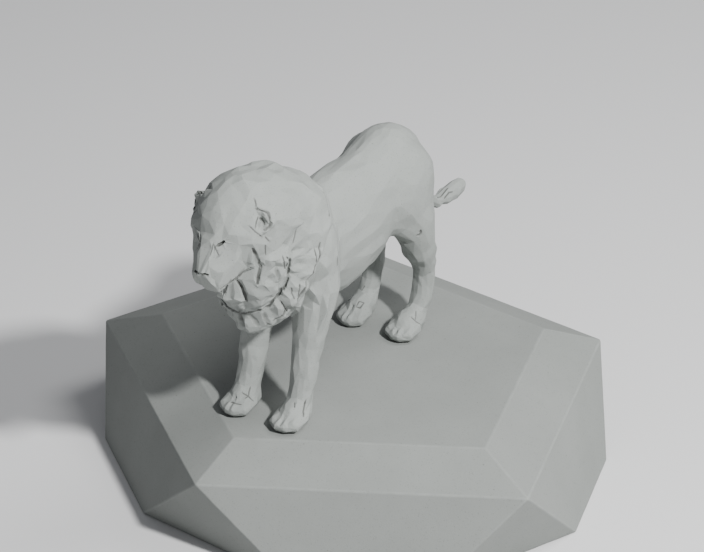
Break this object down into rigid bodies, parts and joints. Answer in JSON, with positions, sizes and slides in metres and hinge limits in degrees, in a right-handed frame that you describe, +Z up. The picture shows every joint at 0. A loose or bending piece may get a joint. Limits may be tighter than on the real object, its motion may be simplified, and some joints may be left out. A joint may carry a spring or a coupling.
{
  "type": "lion statue",
  "caption": "Standing lion carved in low facets on a many-sided bevelled plinth, a free-standing stone garden ornament.",
  "frame": {"origin": "middle of the plinth's flat underside, under the middle of its shoulder ring", "axes": "+Z up; the lion faces -Y; +X is the lion's left side and the plinth's widest way"},
  "size_m": [0.7982, 0.7448, 0.5643],
  "materials": {
    "plinth_stone": "matt cast stone, mid grey, slightly rough",
    "lion_stone": "matt cast stone, light grey, finely rubbed"
  },
  "bodies": {
    "root": {"plinth": "plinth_stone", "lion": "lion_stone"}
  },
  "joints": []
}
